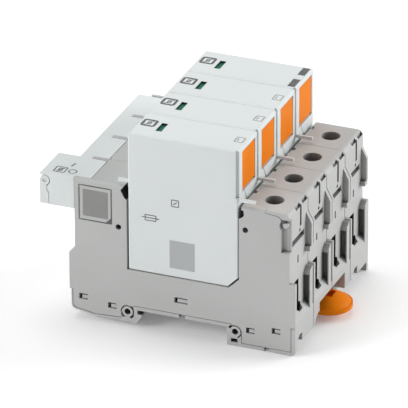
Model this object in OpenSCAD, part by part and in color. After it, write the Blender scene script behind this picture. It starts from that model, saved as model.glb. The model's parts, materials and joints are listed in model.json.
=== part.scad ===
// Pluggable four-pole surge arrester for a 35 mm mounting rail.
// X runs across the rail, Y along the rail, Z away from the rail.
// The origin lies on the rail's middle line, level with the top of its flanges.

/* [Rail] */
// Width of the mounting rail over its flanges
rail_w = 35; // [34:0.1:36]
// Thickness of the rail's flanges
rail_t = 1; // [0.8:0.1:1.5]
// Play of the rail in its slot
rail_play = 0.4; // [0.2:0.1:0.6]
// Reach of the hooks under the flanges
hook_reach = 1.3; // [0.8:0.1:2]

/* [Base] */
// Distance from one pole to the next
pole_pitch = 19.3; // [18.5:0.1:21]
// Gap between two neighbouring pole housings
pole_gap = 0.5; // [0.1:0.05:0.7]
// Height of the shoulders above the rail
shoulder_z = 50.9; // [49:0.1:54]
// Distance from the rail's middle to the left wall
left_reach = 42.8; // [42:0.1:45]
// Distance from the rail's middle to the right wall
right_reach = 42.5; // [42:0.1:45]
// How far the skirts stand out from the side walls
skirt_out = 2.4; // [1.5:0.1:3]
// Height of the skirts
skirt_z = 22.4; // [21:0.1:24]
// Depth of the right foot below the rail's flanges
foot_z = 7.1; // [6:0.1:9]
// Thickness of the moulded walls
wall = 1.8; // [1.4:0.1:2.2]
// Thickness of the wall behind each pole
back_wall = 1.2; // [1:0.1:1.6]
// Thickness of the front cover and of the skirt plates
cover_t = 1.6; // [1.2:0.1:2]
// Width of the parting lines
seam = 0.2; // [0.1:0.05:0.3]
// Width of the rim round the front cover
rim = 1.7; // [1.4:0.1:2]
// Radius of the bosses in the cover's lower edge
boss_r = 2.2; // [2:0.1:2.8]
// Radius of the holes in the bosses
boss_hole_r = 1.2; // [0.8:0.1:1.5]

/* [Plugs] */
// Length of a plug
plug_len = 43.6; // [42:0.1:44]
// Offset of the plugs from the rail's middle
plug_off = 0.4; // [0.2:0.1:1.2]
// Height of the plugs' tops above the rail
plug_top_z = 72.6; // [71.5:0.1:76]
// Height of the plugs' undersides above the rail
plug_seat_z = 17.2; // [16.5:0.1:18.5]
// Wall of the plugs
plug_wall = 1.4; // [1.1:0.1:1.8]
// Play of a plug in its bay
bay_play = 0.5; // [0.3:0.05:0.6]
// Size of the chamfer that keys a plug's lower right corner
key_cut = 4; // [3:0.1:5]
// Length of the ears above the shoulders
ear_len = 6.7; // [4:0.1:7]
// Thickness of the ears
ear_t = 1.2; // [0.8:0.1:2]
// Thickness of a varistor
varistor_t = 6; // [5:0.1:7]
// Distance of a varistor from the plug's top and underside
varistor_gap = 11; // [10.5:0.1:13]
// Radius of a varistor's corners
varistor_r = 4; // [2:0.1:6]
// Radius of the posts behind a varistor
post_r = 2; // [1.5:0.1:2.5]
// Width of the status window
window_w = 2.4; // [2:0.1:3]
// Length of the status window
window_len = 7; // [5:0.1:8]

/* [Levers] */
// Width of an ejector lever
lever_w = 12.4; // [11:0.1:13.5]
// Height of an ejector lever above its pivot
lever_h = 14.7; // [11:0.1:15.5]
// Thickness of an ejector lever
lever_t = 2; // [1.6:0.1:2.4]
// Radius of the lever's pivot pins
pivot_r = 0.8; // [0.6:0.05:0.9]
// Running play of pivots and sliding pieces
play = 0.3; // [0.2:0.05:0.4]

/* [Contacts] */
// Distance of the two blades of a plug from each other
blade_span = 24; // [22:0.1:26]
// Width of a blade
blade_w = 7; // [5:0.1:8]
// Thickness of a blade
blade_t = 1; // [0.8:0.05:1.2]
// Length of a blade below the plug
blade_len = 8.5; // [7:0.1:9]
// Thickness of the copper bars
bar_t = 1.5; // [1.2:0.1:1.8]
// Width of the copper bars
bar_w = 7; // [6:0.1:8]
// Height of the copper bridge above its forks' straps
bridge_rise = 12; // [9:0.1:15]
// Height of the copper bridge's strip
bridge_h = 9; // [6:0.1:10]

/* [Terminals] */
// Clearance of the clamping cages towards the right wall
cage_play = 0.7; // [0.5:0.1:1]
// Radius of the screwdriver holes
driver_r = 3.6; // [3.4:0.05:3.9]
// Radius of the screw heads
head_r = 3.1; // [2.8:0.05:3.2]
// Radius of the screw threads
thread_r = 2; // [1.8:0.05:2.3]
// Width of the wire entries
entry_w = 7.6; // [6:0.1:8]
// Height of the wire entries
entry_h = 12.4; // [10:0.1:13]
// Thickness of the fins between the wire entries
fin_t = 1.3; // [1:0.1:1.6]
// Wall of the clamping cages
cage_t = 1.4; // [1.2:0.1:1.6]
// Travel of the clamping cages
cage_travel = 8; // [6:0.1:9]

/* [Rail latch] */
// Radius of the latch's grip
latch_r = 8.9; // [8:0.1:9.5]
// Width of the latch's bar
latch_w = 14; // [12:0.1:15]
// Travel of the latch
latch_travel = 4; // [3:0.1:4.5]

/* [Signal module] */
// Height of the signal module
module_h = 13.1; // [12:0.1:14]
// Overhang of the signal module past the left wall
module_out = 5; // [4:0.1:7]
// Overhang of its terminal box past the left wall
box_out = 13.9; // [13:0.1:15]
// Length of its terminal box
box_len = 17.6; // [16:0.1:18]
// Depth of the module's seat in the shoulders
seat_in = 6.4; // [5:0.1:7]
// Thickness of the terminal flap
flap_t = 3.4; // [3:0.1:3.8]
// Radius of the flap's pin
pin_r = 0.8; // [0.6:0.05:1]

/* [Hidden] */
$fn = 48;
eps = 0.01;
poles = [0, 1, 2, 3];
count = len(poles);
front_y = -count * pole_pitch / 2;
pole_w = pole_pitch - pole_gap;
function pole_y(k) = front_y + k * pole_pitch;
mid = pole_pitch / 2;

// Rail slot
slot_x = rail_w / 2 + rail_play;
hook_x = rail_w / 2 - hook_reach;
seat_z = 0.2;
lip_z = -rail_t - rail_play;
notch_h = 2;
notch_w = 2.4;

// Outline of the base
left_skirt = -left_reach - skirt_out;
right_skirt = right_reach + skirt_out;
flare_z = skirt_z - 2.8;
left_foot_z = -3.9;
left_step = 0.7;
step_z = 4.5;
sole_x = left_skirt + 11.5;
hook_z = -5.4;
foot_x = right_reach - 2.5;
edge_r = 2.2;
strip_z0 = -3.5;
boss_left = [-slot_x - 4, -1];
boss_right = [slot_x + 3.2, -1.2];
boss_gap = 0.45;
boss_seat_r = boss_r + boss_gap;
boss_gap_d = 4;
nook_w = 1.5;
nook_r = boss_r + 0.8;

// Snap windows of the front cover, each given by its lower left corner and its width
snap_h = 2.3;
snap_d = 2.4;
snap_back = 0.5;
snap_side = 1;
snap_lift = 0.7;
snaps = [
  [left_skirt + 3.9, 0.9, 3.4], [-slot_x - 11.8, -0.8, 3.4], [-3, 6.4, 5.2],
  [slot_x + 7.6, -0.8, 3.4], [right_skirt - 9.2, 0.9, 3.4]];

// Small openings in the lower edge of the first pole
edge_rim = 0.5;
cover_x0 = left_skirt + left_step + edge_rim + seam;
rim_gap_x = right_skirt - 12.2;
rim_gap_w = 2;
nest_x = boss_right[0] - 1.6;
nest_z = boss_right[1] - 4.4;
nest_w = 2.6;
nest_h = 1.5;
nest_d = 3;

// Plug bay
plug_x0 = plug_off - plug_len / 2;
plug_x1 = plug_off + plug_len / 2;
bay_x0 = plug_x0 - bay_play;
bay_x1 = plug_x1 + bay_play;
bay_z = plug_seat_z - bay_play;
catch_deep = 9;
mouth_w = 0.9;
mouth_d = 2.4;
mouth_notch_y = 12.4;
mouth_notch_w = 2.2;
mouth_notch_d = 1.1;
peep_left = [bay_x0 - 3.3, shoulder_z - 17.3];
peep_right = [bay_x1 + 2.5, shoulder_z - 9.3];
peep_r = 1.1;
peep_d = 9;

// Chambers of a pole housing
clip_room_z0 = seat_z + notch_h + wall;
clip_room_z1 = bay_z - wall;
left_room_x0 = -left_reach + wall;
left_room_x1 = bay_x0 - wall;
left_room_z1 = shoulder_z - module_h - wall;
right_room_x0 = bay_x1 + wall;
right_room_x1 = right_reach - 4.2;
right_room_z1 = shoulder_z - 9;
catch_low = shoulder_z - 5.9;
room_top = catch_low - wall;
pillar_w = 6;

// Right end of a pole
corner_x = right_reach - 3.2;
corner_z0 = shoulder_z - 16;
corner_z1 = shoulder_z - 1;
term_y = mid - 1;
entry_y1 = mid - 0.1;
entry_y0 = entry_y1 - entry_w;
entry_z1 = skirt_z - 1.7;
entry_z0 = entry_z1 - entry_h;
rear_fin_y = pole_w - 3.6;
ramp_z0 = strip_z0 + 9.5;
ramp_z1 = ramp_z0 + skirt_out + 0.5;
pocket_z1 = skirt_z - 2.9;
pocket_skin = 0.45;
pocket_in = 0.3;
pocket_back = 0.5;
fin_gap = 0.9;
cap_y = 2;
cap_z = 1.1;
rib_z0 = skirt_z + 8.4;
rib_z1 = rib_z0 + 9.2;
rib_z2 = rib_z1 + 4.4;
rib_x = right_skirt - 0.2;
rear_rib_t = 1.7;
rib_foot_h = 1.9;
rib_foot_w = 1.2;
ramp_lip = 1.3;
slit_w = 1.6;
slit_h = 8.6;
slit_d = 3;
slit_y = mid + 1.2;
vent_y = 3.1;
vent_w = 12.2;
vent_h = 2.3;
vent_z = corner_z0 + 1.3;
vent_room = 2;
tick_w = 1.1;
tick_d = 2.4;
tick_h = 3;
tick_y = mid - 1.2;
tick_z = skirt_z + 5;
groove_y = [7.2, 13.8];
groove_len = 4.6;
groove_w = 0.9;
groove_d = 2;
groove_x = right_reach - 1;
dimple_r = 0.7;
dimple_d = 2;
recess_w = cover_t + 0.3;
recess_z1 = corner_z1 - 1.4;
recess_r = 1.2;
keyhole_r = 2.1;
keyhole_z = 0.5;
foot_notch_w = 5.6;
foot_notch_h = 3.3;
foot_notch_slope = 3;
post_x = corner_x + 1.5;
post_z = corner_z1 - 4;
post_back = 0.5;
post_seat_r = 2.2;
corner_post_r = 1.05;

// Plug
plug_y0 = play / 2;
plug_y1 = pole_pitch - play / 2;
plug_r = 0.8;
rebate = 1;
ear_gap = 1.5;
ear_z = shoulder_z + ear_gap;
pivot_x = plug_x1 - lever_t / 2 - 0.1;
lever_drop = 2;
lever_top = plug_top_z - lever_drop;
pivot_z = lever_top - lever_h;
lever_y = mid + 1.5;
pin_len = 0.9;
corner_cut = 1.5;
corner_d = 6;
pocket_x = plug_x1 - lever_t - 2 * play;
window_x = plug_x0 + 9.8;
window_skin = 0.7;
window_y = mid + 0.1;
flag_t = 1;
flag_lap = 0.5;
flag_w = window_len + 1.2;
flag_step = window_w + 1;
flag_z = plug_top_z - window_skin - flag_t - play / 2;
flag_travel = flag_step;
flag_x0 = window_x - window_w / 2 - flag_lap - flag_step;
flag_x1 = window_x + window_w / 2 + flag_lap;
shelf_t = 1.2;
varistor_y = mid - varistor_t / 2;
varistor_z0 = plug_seat_z + varistor_gap;
varistor_z1 = plug_top_z - varistor_gap;
blade_x = [plug_off - blade_span / 2, plug_off + blade_span / 2];
varistor_x0 = blade_x[0] - blade_w * 0.7;
varistor_x1 = blade_x[1] + post_r / 2;

// Contacts
blade_z = plug_seat_z - blade_len;
clip_t = 0.9;
clip_gap = blade_t / 2 + play;
strap_z = clip_room_z0 + 0.4;
clip_z = clip_room_z1 - 0.4;
riser_x = right_room_x0 + 0.4;
cage_gap = 2;
bridge_x = left_room_x1 - 8;
bridge_z = strap_z + bridge_rise;

// Terminals
cage_x0 = riser_x + bar_t + cage_gap;
cage_x1 = right_room_x1 - cage_play;
screw_x = (cage_x0 + cage_x1) / 2;
cage_w = bar_w + 2 * cage_t + 1.8;
cage_z0 = entry_z0 - cage_t - 0.3;
clamp_z = entry_z1 - bar_t + 0.6;
head_z = clamp_z + bar_t + cage_travel + cage_t + 4.4;
head_h = 2.6;
cross_w = 0.9;
cross_d = 1.2;
cage_z1 = clamp_z + bar_t + cage_t + 1.2;

// Rail latch
latch_z0 = -foot_z + 1.9;
latch_z1 = lip_z;
latch_tip = rail_w / 2 - hook_reach - 0.6;
latch_x = right_skirt - 1.2;
latch_room = latch_r + 4.3;
room_z1 = 3.3;
grip_z0 = latch_z0 + 0.9;
grip_t = 1.7;
dome_r = latch_r - 0.6;
dome_h = 3.6;
dome_ball = (dome_r * dome_r + dome_h * dome_h) / (2 * dome_h);
grip_z = grip_z0 + grip_t + dome_h;
tool_w = 5.2;
tool_len = 3.8;
tool_d = 2.4;
grip_back = 4.6;
rib_w = 1.2;
rib_x0 = slot_x + wall + latch_travel / 2;
rib_x1 = foot_x - latch_travel - 2;

// Signal module
module_z1 = shoulder_z - seam;
module_z0 = shoulder_z - module_h + seam;
module_x0 = -left_reach - module_out;
module_x1 = -left_reach + seat_in - 2 * seam;
module_y1 = -front_y - back_wall - pole_gap - 0.5;
box_x0 = -left_reach - box_out;
box_y0 = front_y + seam;
box_y1 = front_y + box_len;
roof_t = 0.9;
knuckle_r = 1.9;
pin_x = box_x0 + knuckle_r;
pin_z = module_z1 - roof_t - knuckle_r - play;
flap_step_z = pin_z - 5;
flap_neck_x = pin_x + 0.8;
flap_x1 = box_x0 + flap_t;
ear_y = [box_y0 + 4, box_y1 - 6];
hinge_ear_w = 2;
port_y = [for (i = [0:2]) box_y0 + 4.2 + i * 4.6];
port_w = 2.6;
port_d = 7;
port_wall = 0.5;
port_lip = 2;
ear_stem = 2;
port_z = module_z0 + 4.2;

body_grey = [0.71, 0.71, 0.70];
plug_white = [0.88, 0.89, 0.89];
signal_orange = [0.94, 0.50, 0.10];
copper = [0.80, 0.52, 0.34];
steel = [0.68, 0.69, 0.70];
flag_green = [0.16, 0.48, 0.34];
disc_blue = [0.20, 0.30, 0.45];

function pole_names(stem) = [for (k = poles) str(stem, "_", k + 1)];

// Extrudes a drawing in X and Z from y0 to y1
module along_y(y0, y1) {
  translate([0, y1, 0]) rotate([90, 0, 0]) linear_extrude(y1 - y0) children();
}

// Extrudes a drawing in Y and Z from x0 to x1
module along_x(x0, x1) {
  translate([x0, 0, 0]) rotate([90, 0, 90]) linear_extrude(x1 - x0) children();
}

// Extrudes a drawing in X and Y from z0 to z1
module along_z(z0, z1) {
  translate([0, 0, z0]) linear_extrude(z1 - z0) children();
}

// Box given by its lowest and highest corners
module block(low, high) {
  translate(low) cube(high - low);
}

// Rectangle with four round corners
module rounded(x0, y0, x1, y1, r) {
  translate([x0 + r, y0]) square([x1 - x0 - 2 * r, y1 - y0]);
  translate([x0, y0 + r]) square([x1 - x0, y1 - y0 - 2 * r]);
  for (x = [x0 + r, x1 - r], y = [y0 + r, y1 - r]) translate([x, y]) circle(r);
}

// Waste piece that rounds a corner pointing towards sx, sy
module corner_waste(at, sx, sy, r) {
  translate(at) mirror([sx < 0 ? 1 : 0, 0]) mirror([0, sy < 0 ? 1 : 0]) difference() {
    translate([-r, -r]) square(r + 0.1);
    translate([-r, -r]) circle(r);
  }
}

// Cylinder along Y
module rod_y(x, z, r, y0, y1) {
  translate([x, y0, z]) rotate([-90, 0, 0]) cylinder(r = r, h = y1 - y0);
}

// Outline of the plug bay, with the keyed corner
module bay_area() {
  polygon([
    [bay_x0, shoulder_z + 1], [bay_x0, bay_z], [bay_x1 - key_cut, bay_z],
    [bay_x1, bay_z + key_cut], [bay_x1, shoulder_z + 1]]);
}

// Side pockets of the bay, for the catches of a plug
module catch_area() {
  translate([bay_x0, shoulder_z]) polygon([
    [0.5, catch_low - shoulder_z], [-0.8, catch_low - shoulder_z + 0.9],
    [-2.4, -2], [-0.4, 0.6], [0.5, 0.6]]);
  translate([bay_x1, shoulder_z]) polygon([
    [-0.5, -1.4], [1.7, -1.4], [2, -3.1], [1.5, -4.2], [0.3, -5], [-0.5, -5]]);
}

// Relief along the mouth of the bay
module mouth_area() {
  for (x = [bay_x0 - mouth_w, bay_x1])
    translate([x - eps, shoulder_z - mouth_d]) square([mouth_w + 2 * eps, mouth_d + 1]);
}

// Section of a pole: two towers, the rail slot with its hook, and the foot
module base_area(right_x, right_foot) {
  difference() {
    polygon([
      [-left_reach, shoulder_z], [-left_reach, flare_z + skirt_out], [left_skirt, flare_z],
      [left_skirt, step_z], [left_skirt + left_step, step_z], [left_skirt + left_step, left_foot_z],
      [left_skirt + left_step + edge_r + seam, left_foot_z], [sole_x, hook_z + seam],
      [-slot_x - 0.5, hook_z], [-hook_x, lip_z - 0.8], [-hook_x, lip_z], [-slot_x, lip_z],
      [-slot_x, seat_z], [-notch_w / 2, seat_z], [-notch_w / 2, seat_z + notch_h],
      [notch_w / 2, seat_z + notch_h], [notch_w / 2, seat_z], [slot_x, seat_z],
      [slot_x, -foot_z], [right_foot, -foot_z], [right_foot, strip_z0], [right_x, strip_z0],
      [right_x, skirt_z], [right_reach, skirt_z], [right_reach, shoulder_z]]);
    bay_area();
    corner_waste([right_reach, shoulder_z], 1, 1, edge_r);
    corner_waste([left_skirt + left_step, left_foot_z], -1, -1, edge_r);
    mouth_area();
  }
}

// Outline of the front cover; grow widens it for its seat in the rim
module cover_area(grow) {
  right_rim = right_skirt - rim;
  top = grow > 0 ? shoulder_z + 1 : shoulder_z;
  bottom = -foot_z + rim;
  boss_edge = boss_right[0] + boss_seat_r - grow;
  difference() {
    polygon([
      [-left_reach - grow, top], [-left_reach - grow, flare_z + skirt_out],
      [left_skirt - grow, flare_z], [left_skirt - grow, step_z - grow],
      [cover_x0 - grow, step_z - grow], [cover_x0 - grow, left_foot_z + edge_r],
      [cover_x0 + 0.3 * edge_r - grow, left_foot_z + edge_rim + 0.3 * edge_r - grow],
      [cover_x0 + edge_r, left_foot_z + edge_rim + seam - grow],
      [sole_x - rim / 2, hook_z + 0.7 * rim - grow],
      [boss_left[0] - boss_seat_r + seam, hook_z + rim - grow],
      [boss_left[0], boss_left[1]], [boss_left[0] + boss_seat_r, seat_z + rim - grow],
      [slot_x + rim, seat_z + rim - grow], [boss_right[0], boss_right[1]],
      [boss_edge, boss_right[1]], [boss_edge, bottom - grow],
      [right_rim + grow, bottom - grow], [right_rim + grow, rim * 2.6 - grow],
      [right_skirt + grow, rim * 2.6 - grow], [right_skirt + grow, skirt_z + grow],
      [right_reach + grow, skirt_z + grow], [right_reach + grow, corner_z0 + grow],
      [corner_x + grow, corner_z0 + grow], [corner_x + grow, corner_z1 - 2.2],
      [corner_x - 0.6 + grow, corner_z1 - 0.9 + grow], [corner_x - 1.7, corner_z1 - 0.4 + grow],
      [screw_x + grow, corner_z1 + grow], [screw_x + grow, top]]);
    for (at = [boss_left, boss_right]) translate(at) circle(boss_seat_r - grow);
    translate([post_x, post_z]) circle(post_seat_r - grow);
  }
}

// Windows in the front cover
module snap_area() {
  for (at = snaps) translate([at[0], at[1]]) square([at[2], snap_h]);
}

// Snap hooks that show in the windows
module hook_area() {
  for (at = snaps) translate([at[0] + snap_side, at[1] + seam])
    square([at[2] - snap_side - seam, snap_h - snap_lift - seam]);
}

// Gap round a boss with its nooks; keep is the box in which the boss stays joined
module boss_gap_area(at, nooks, keep) {
  translate(at) difference() {
    union() {
      circle(boss_seat_r);
      for (a = nooks) rotate(a) translate([0, -nook_w / 2]) square([nook_r, nook_w]);
    }
    circle(boss_r);
    translate(keep[0]) square(keep[1] - keep[0]);
  }
}

// Gaps round both bosses of the first pole
module boss_gaps() {
  boss_gap_area(boss_left, [45, 220, 315], [[-0.9, -2 * boss_r], [0.9, 0]]);
  boss_gap_area(boss_right, [135], [[-2 * boss_r, -2 * boss_r], [0.9, boss_r / 2]]);
}

// Openings in the front of the first pole: snap pockets, boss gaps and edge openings
module front_cuts(y) {
  along_y(y + cover_t - eps, y + cover_t + snap_d) difference() {
    snap_area();
    hook_area();
  }
  along_y(y - 1, y + boss_gap_d) boss_gaps();
  along_y(y - 1, y + nest_d) translate([nest_x, nest_z]) square([nest_w, nest_h]);
  block([rim_gap_x, y - 1, -foot_z - 1], [rim_gap_x + rim_gap_w, y + nest_d, -foot_z + rim]);
  for (at = [peep_left, peep_right]) rod_y(at[0], at[1], peep_r, y, y + peep_d);
  difference() {
    union() {
      block([corner_x, y - 1, corner_z0], [right_skirt + 1, y + recess_w, recess_z1]);
      rod_y(post_x, post_z, post_seat_r, y - 1, y + recess_w);
    }
    rod_y(post_x, post_z, corner_post_r, y + post_back, y + recess_w + 1);
  }
  along_z(corner_z0, recess_z1) corner_waste([right_reach, y + recess_w], 1, -1, recess_r);
}

// Right end of one pole: driver hole, wall slots, wire entry and fin pocket
module pole_end_cuts(y) {
  out = right_reach + 1;
  inner = right_room_x1 - 1;
  notch_y = y + cover_t;
  fin_y = y + rear_fin_y;
  slit_z = corner_z1 - slit_h;
  translate([screw_x, y + mid, right_room_z1 - 1])
    cylinder(r = driver_r, h = shoulder_z - right_room_z1 + 2);
  block([right_reach - slit_d, y + slit_y, slit_z], [out, y + slit_y + slit_w, corner_z1]);
  translate([right_reach - dimple_d, y + slit_y, slit_z - 2 * dimple_r]) rotate([0, 90, 0])
    cylinder(r = dimple_r, h = dimple_d + 1);
  block([inner, y + vent_y, vent_z], [out, y + vent_y + vent_w, vent_z + vent_h]);
  block([inner, y + vent_y, vent_z - vent_room],
        [right_reach - wall, y + vent_y + vent_w, vent_z + vent_h + vent_room]);
  block([right_reach - tick_d, y + tick_y, tick_z], [out, y + tick_y + tick_w, tick_z + tick_h]);
  for (at = groove_y) block([groove_x, y + at, shoulder_z - groove_d],
                            [groove_x + groove_w, y + at + groove_len, shoulder_z + 1]);
  block([inner, y + entry_y0, entry_z0], [out, y + entry_y1, entry_z1]);
  translate([inner, y + entry_y1, entry_z0 + keyhole_z]) rotate([0, 90, 0])
    cylinder(r = keyhole_r, h = out - inner);
  along_y(fin_y - 1, y + pole_w - fin_gap - pocket_back) polygon([
    [right_reach - pocket_in, ramp_z1], [right_skirt - pocket_skin, ramp_z0 + ramp_lip],
    [right_skirt - pocket_skin, pocket_z1], [right_reach - pocket_in, pocket_z1]]);
  along_x(right_reach, right_skirt + 1) polygon([
    [fin_y - 1, skirt_z - 1.5 * cap_z], [fin_y + cap_y, skirt_z + eps], [fin_y - 1, skirt_z + eps]]);
  along_x(foot_x - 1, right_skirt + 1) polygon([
    [notch_y, strip_z0 - 1], [notch_y, strip_z0 + foot_notch_h - 2],
    [notch_y + foot_notch_slope, strip_z0 + foot_notch_h],
    [notch_y + foot_notch_w, strip_z0 + foot_notch_h], [notch_y + foot_notch_w, strip_z0 - 1]]);
}

// Side view of the ribs beside a parting line
module rib_area() {
  polygon([
    [right_reach - 1, rib_z0], [rib_x, rib_z0], [rib_x, rib_z1],
    [right_reach, rib_z2], [right_reach - 1, rib_z2]]);
}

// Fins, ribs, ramp and strip at the right end of one pole
module pole_end_blocks(y, first) {
  back = y + pole_w;
  block([right_reach - 1, y + rear_fin_y, strip_z0], [right_skirt, back - fin_gap, skirt_z]);
  along_y(back - rear_rib_t, back) rib_area();
  block([right_reach - 1, back - rear_rib_t - rib_foot_w, rib_z0 - rib_foot_h],
        [rib_x - seam, back, rib_z0 + eps]);
  if (!first) {
    block([right_reach - 1, y, strip_z0], [right_skirt, y + fin_t, skirt_z]);
    along_y(y, y + fin_t) rib_area();
  }
  along_y(y + (first ? cover_t : 0), back) polygon([
    [right_reach - 1, strip_z0], [right_skirt, strip_z0], [right_skirt, ramp_z0],
    [right_reach, ramp_z1], [right_reach - 1, ramp_z1]]);
}

// Inner chambers of a pole, open to the front
module chambers(y) {
  along_y(y - 1, y + pole_w - back_wall) {
    translate([left_room_x1 - 9, clip_room_z0]) square([9, room_top - clip_room_z0]);
    translate([left_room_x0, clip_room_z0])
      square([left_room_x1 - left_room_x0, left_room_z1 - clip_room_z0]);
    rounded(bay_x0 + wall, clip_room_z0, -pillar_w / 2, clip_room_z1, 0.8);
    rounded(pillar_w / 2, clip_room_z0, bay_x1 - key_cut, clip_room_z1, 0.8);
    rounded(right_room_x0, clip_room_z0, right_room_x1, right_room_z1, 0.8);
    translate([right_room_x1 - 1, ramp_z0])
      square([right_reach - wall - right_room_x1 + 1, rib_z0 - ramp_z0]);
    for (x = [left_room_x1 - 1, bay_x1 - key_cut - 1]) translate([x, strap_z - play])
      square([key_cut + 2 * wall, bar_t + 2 * play]);
  }
}

// Slots in the bay's floor for the blades of a plug
module blade_slots(y) {
  for (x = blade_x)
    block([x - blade_w / 2 - play, y + mid - clip_gap - clip_t, clip_room_z1 - 1],
          [x + blade_w / 2 + play, y + mid + clip_gap + clip_t, bay_z + 1]);
}

// Seat of the signal module in the left shoulder
module module_seat(y, first) {
  block([-left_reach - 1, y + (first ? cover_t : 0), shoulder_z - module_h],
        [-left_reach + seat_in, y + pole_w - back_wall, shoulder_z + 1]);
}

// Room for the rail latch in the feet of the two inner poles
module latch_room_cut() {
  half = latch_w / 2 + play;
  block([slot_x - 1, -half, -foot_z - 1], [right_skirt + 1, half, latch_z1 + play]);
  block([slot_x + wall, -half - rib_w, (latch_z0 + latch_z1) / 2 - 1],
        [foot_x - wall, half + rib_w, (latch_z0 + latch_z1) / 2 + 1]);
  block([foot_x - 0.5, -latch_room, -foot_z - 1], [right_skirt + 1, latch_room, room_z1]);
}

// One moulded pole housing
module pole_housing(k) {
  y = pole_y(k);
  first = k == 0;
  last = k == count - 1;
  color(body_grey) difference() {
    union() {
      along_y(y + (first ? cover_t : 0), y + pole_w) base_area(right_reach, foot_x);
      if (last) along_y(y + pole_w - cover_t, y + pole_w) base_area(right_skirt, right_skirt);
      if (first) along_y(y, y + cover_t + eps) difference() {
        base_area(right_skirt, right_skirt);
        cover_area(seam);
        corner_waste([right_skirt, -foot_z], 1, -1, rim);
      }
      pole_end_blocks(y, first);
    }
    chambers(y);
    blade_slots(y);
    module_seat(y, first);
    pole_end_cuts(y);
    along_y(y - 1, y + (last ? pole_w - back_wall : pole_w + 1))
      translate([bridge_x - bar_t, bridge_z - bar_t]) square([3 * bar_t, bridge_h + 2 * bar_t]);
    along_y(y - 1, y + catch_deep) catch_area();
    block([bay_x1 - eps, y + mouth_notch_y, shoulder_z - mouth_d],
          [bay_x1 + mouth_w + mouth_notch_d, y + mouth_notch_y + mouth_notch_w, shoulder_z + 1]);
    if (first) front_cuts(y);
    for (at = [boss_left, boss_right])
      rod_y(at[0], at[1], boss_hole_r, y - 1, y + (last ? pole_w - back_wall : pole_w + 1));
    latch_room_cut();
  }
  if (first) color(body_grey) along_y(y + snap_back, y + cover_t + eps) hook_area();
}

// Front cover, with its snap windows
module front_cover() {
  color(body_grey) difference() {
    along_y(front_y, front_y + cover_t - eps) difference() {
      cover_area(0);
      bay_area();
      mouth_area();
      catch_area();
      snap_area();
      boss_gaps();
    }
    along_x(left_skirt - 1, right_skirt + 1) corner_waste([front_y, shoulder_z], -1, 1, 1.2);
    for (at = [peep_left, peep_right]) rod_y(at[0], at[1], peep_r, front_y - 1, front_y + cover_t + 1);
  }
}

// Spring fork that grips a blade
module fork(x, y) {
  for (s = [-1, 1])
    block([x - blade_w / 2, y + mid + s * (clip_gap + clip_t / 2) - clip_t / 2, strap_z],
          [x + blade_w / 2, y + mid + s * (clip_gap + clip_t / 2) + clip_t / 2, clip_z]);
}

// Copper bar from the fork of a plug to its terminal
module contact_bar(k) {
  y = pole_y(k);
  color(copper) {
    fork(blade_x[1], y);
    along_y(y + term_y - bar_w / 2, y + term_y + bar_w / 2) polygon([
      [blade_x[1] - blade_w / 2, strap_z], [riser_x + bar_t, strap_z], [riser_x + bar_t, clamp_z],
      [cage_x1 + 0.6, clamp_z], [cage_x1 + 0.6, clamp_z + bar_t], [riser_x, clamp_z + bar_t],
      [riser_x, strap_z + bar_t], [blade_x[1] - blade_w / 2, strap_z + bar_t]]);
  }
}

// Copper bridge that joins the second forks of all poles
module bridge_bar() {
  color(copper) {
    for (k = poles) {
      fork(blade_x[0], pole_y(k));
      along_y(pole_y(k) + mid - bar_w / 2, pole_y(k) + mid + bar_w / 2) polygon([
        [blade_x[0] + blade_w / 2, strap_z], [bridge_x, strap_z], [bridge_x, bridge_z + eps],
        [bridge_x + bar_t, bridge_z + eps], [bridge_x + bar_t, strap_z + bar_t],
        [blade_x[0] + blade_w / 2, strap_z + bar_t]]);
    }
    block([bridge_x, front_y + cover_t + 1, bridge_z],
          [bridge_x + bar_t, -front_y - back_wall - 1, bridge_z + bridge_h]);
  }
}

// Clamping cage that lifts a wire against the bar
module clamp_cage(k) {
  y = pole_y(k) + term_y;
  color(steel) difference() {
    along_x(cage_x0, cage_x1) rounded(y - cage_w / 2, cage_z0, y + cage_w / 2, cage_z1, 0.8);
    along_x(cage_x0 - 1, cage_x1 + 1) rounded(
      y - cage_w / 2 + cage_t, cage_z0 + cage_t, y + cage_w / 2 - cage_t, cage_z1 - cage_t, 0.5);
    translate([screw_x, pole_y(k) + mid, cage_z1 - cage_t - cage_gap])
      cylinder(r = thread_r + play / 2, h = cage_t + 2 * cage_gap);
  }
}

// Captive terminal screw with a cross slot
module terminal_screw(k) {
  foot = clamp_z + bar_t + play;
  color(steel) translate([screw_x, pole_y(k) + mid, 0]) difference() {
    union() {
      translate([0, 0, foot]) cylinder(r = thread_r, h = head_z - foot + eps);
      translate([0, 0, head_z]) cylinder(r = head_r, h = head_h);
    }
    for (a = [0, 90]) translate([0, 0, head_z + head_h]) rotate(a)
      cube([2 * head_r + 1, cross_w, 2 * cross_d], center = true);
  }
}

// Outline of a plug in X and Z
module plug_area(inset) {
  difference() {
    translate([plug_x0 + inset, plug_seat_z + inset])
      square([plug_len - 2 * inset, plug_top_z - plug_seat_z - 2 * inset]);
    translate([plug_x1, plug_seat_z]) rotate(45)
      square((key_cut + inset * 0.6) * sqrt(2), center = true);
    if (inset == 0) for (x = [plug_x0, plug_x1])
      corner_waste([x, plug_top_z], x > 0 ? 1 : -1, 1, plug_r);
  }
}

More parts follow.
